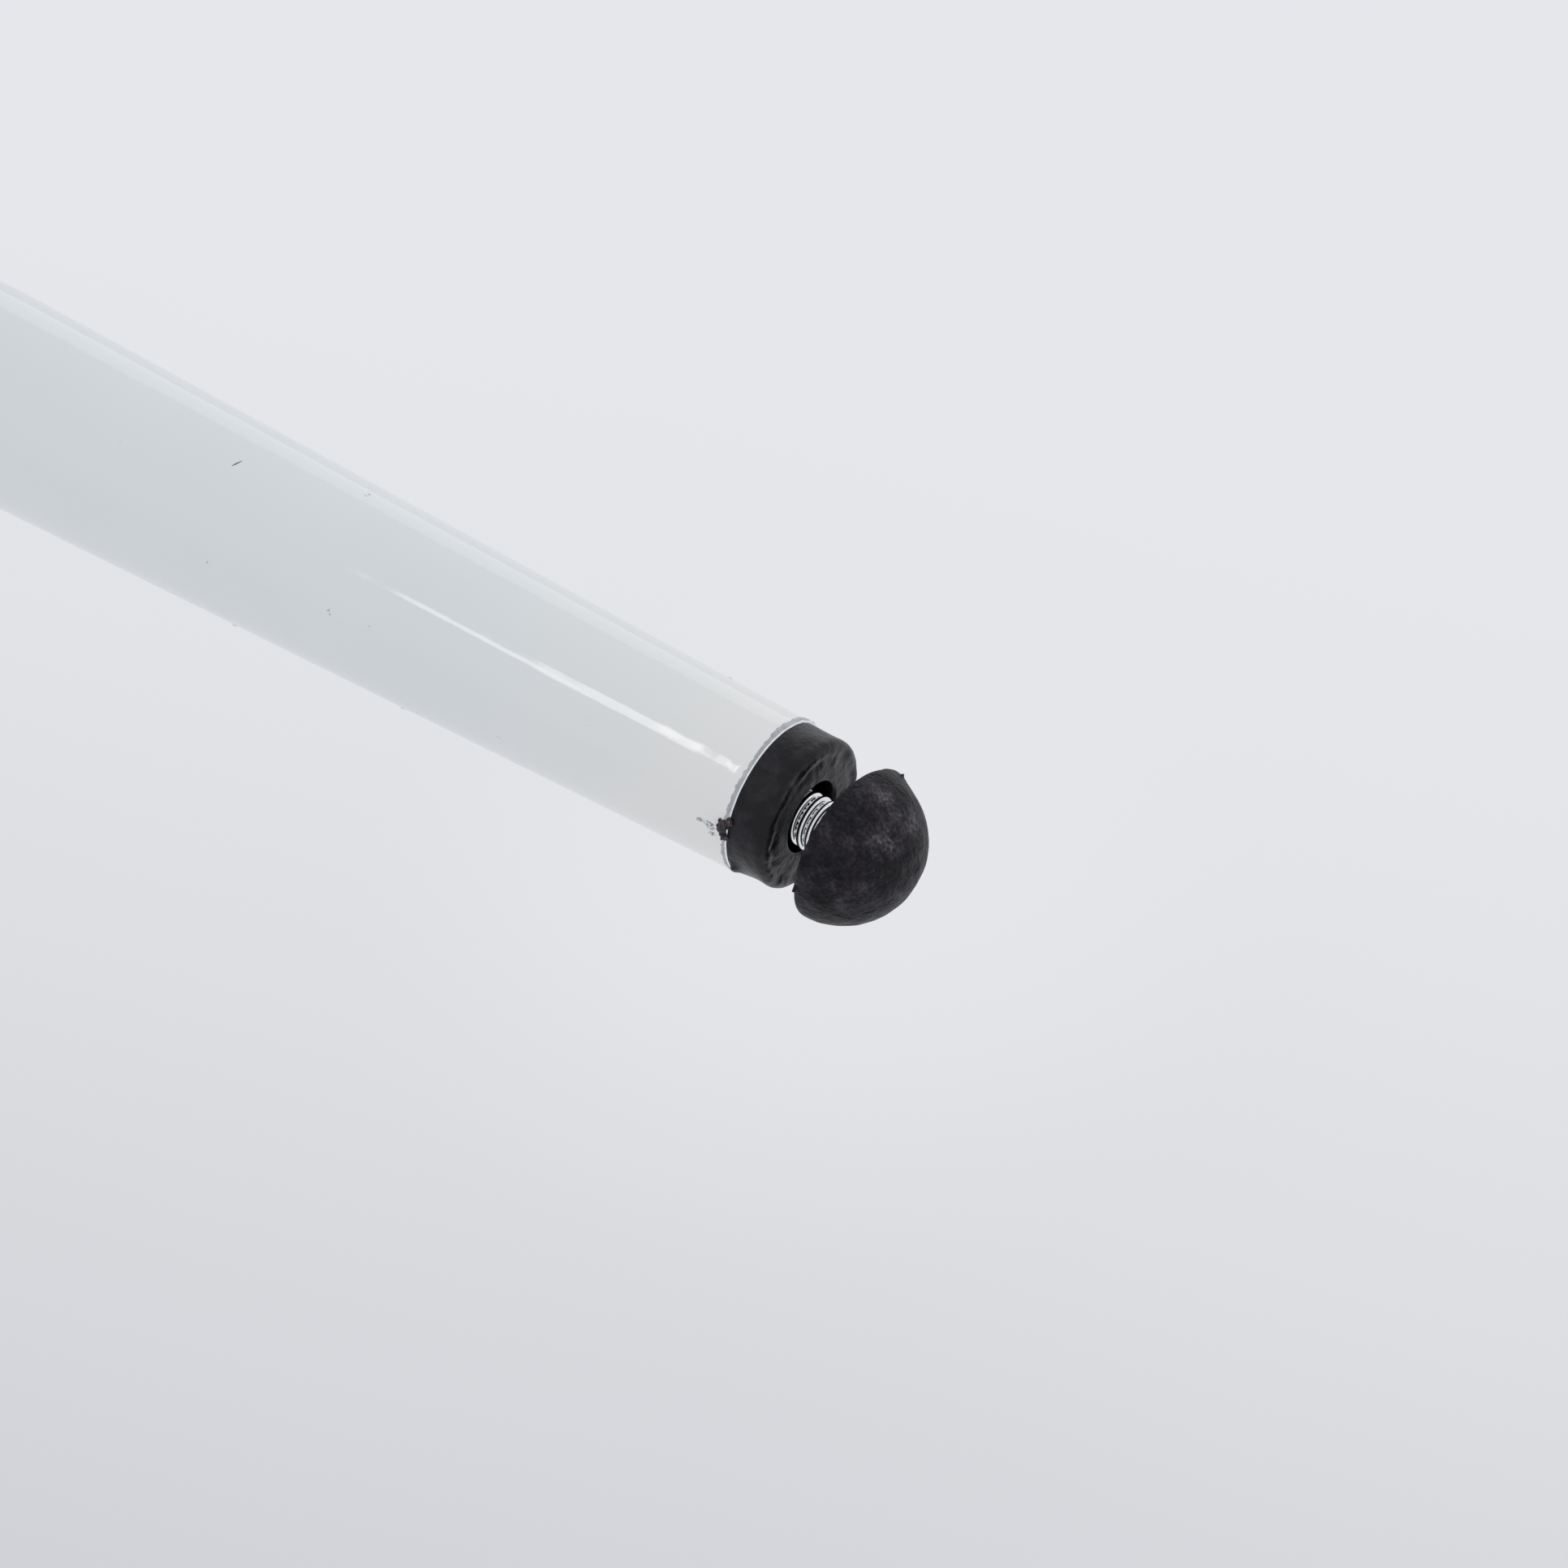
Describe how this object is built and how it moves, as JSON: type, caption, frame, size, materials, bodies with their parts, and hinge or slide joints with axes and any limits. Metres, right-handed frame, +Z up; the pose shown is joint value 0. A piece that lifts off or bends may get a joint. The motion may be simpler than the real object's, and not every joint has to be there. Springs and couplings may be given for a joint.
{
  "type": "telescoping white cane",
  "caption": "White cane, stowed: nested tubes that slide out and lock with a twist, a rubber grip with a flat, and a screw-adjusted dome tip.",
  "frame": {"origin": "under the middle of the stowed cane, on the plane of the grip's flat, which it lies on", "axes": "+X along the shaft, from the grip to the tip; +Z up, away from the grip's flat"},
  "size_m": [0.5578, 0.03, 0.0264],
  "materials": {
    "white_tube": "gloss",
    "tip_rubber": "matte",
    "tip_plastic": "satin",
    "plated_steel": "polished",
    "collar_plastic": "satin",
    "cap_plastic": "satin",
    "grip_rubber": "matte",
    "eyelet_steel": "satin",
    "reflective_tape": "gloss",
    "lock_plastic": "satin"
  },
  "bodies": {
    "handle": {"upper_tube": "white_tube", "upper_guide_collar": "collar_plastic", "reflective_band": "reflective_tape", "grip": "grip_rubber", "grip_ferrule": "collar_plastic", "grip_cap": "cap_plastic", "cord_eyelet": "eyelet_steel"},
    "middle_lock": {"middle_lock_sleeve": "lock_plastic"},
    "middle_lock_cone": {"middle_lock_cone": "lock_plastic"},
    "middle_section": {"middle_tube": "white_tube", "middle_guide_collar": "collar_plastic", "middle_lock_plug": "lock_plastic", "middle_lock_screw": "plated_steel"},
    "lower_lock": {"lower_lock_sleeve": "lock_plastic"},
    "lower_lock_cone": {"lower_lock_cone": "lock_plastic"},
    "lower_section": {"lower_tube": "white_tube", "tip_plug": "tip_plastic", "tip_nut": "plated_steel", "lower_lock_plug": "lock_plastic", "lower_lock_screw": "plated_steel"},
    "tip_stud": {"tip_stud": "plated_steel"},
    "tip_dome": {"dome_tip": "tip_rubber"}
  },
  "joints": [
    {"name": "middle_slide", "type": "slide", "parent": "handle", "child": "middle_lock", "axis": [1, 0, 0], "range_m": [0, 0.326]},
    {"name": "middle_twist", "type": "hinge", "parent": "middle_lock", "child": "middle_section", "pos_m": [0, 0, 0.0114], "axis": [1, 0, 0], "range_deg": [0, 450]},
    {"name": "middle_cone_climb", "type": "slide", "parent": "middle_lock", "child": "middle_lock_cone", "axis": [-1, 0, 0], "range_m": [0, 0.00101]},
    {"name": "lower_slide", "type": "slide", "parent": "middle_section", "child": "lower_lock", "axis": [1, 0, 0], "range_m": [0, 0.306]},
    {"name": "lower_twist", "type": "hinge", "parent": "lower_lock", "child": "lower_section", "pos_m": [0, 0, 0.0114], "axis": [1, 0, 0], "range_deg": [0, 450]},
    {"name": "lower_cone_climb", "type": "slide", "parent": "lower_lock", "child": "lower_lock_cone", "axis": [-1, 0, 0], "range_m": [0, 0.00101]},
    {"name": "tip_travel", "type": "slide", "parent": "lower_section", "child": "tip_stud", "axis": [0.9973, -0.0575, -0.0454], "range_m": [-0.0021, 0.0021]},
    {"name": "tip_turn", "type": "hinge", "parent": "tip_stud", "child": "tip_dome", "pos_m": [0.26743, 0, 0.0114], "axis": [0.9973, -0.0575, -0.0454], "range_deg": [-1085, 1085]}
  ],
  "couplings": [
    {"joint": "middle_cone_climb", "follows": "middle_twist", "m_per_rad": 0.00012732},
    {"joint": "lower_cone_climb", "follows": "lower_twist", "m_per_rad": 0.00012732},
    {"joint": "tip_turn", "follows": "tip_travel", "rad_per_m": 8976}
  ]
}
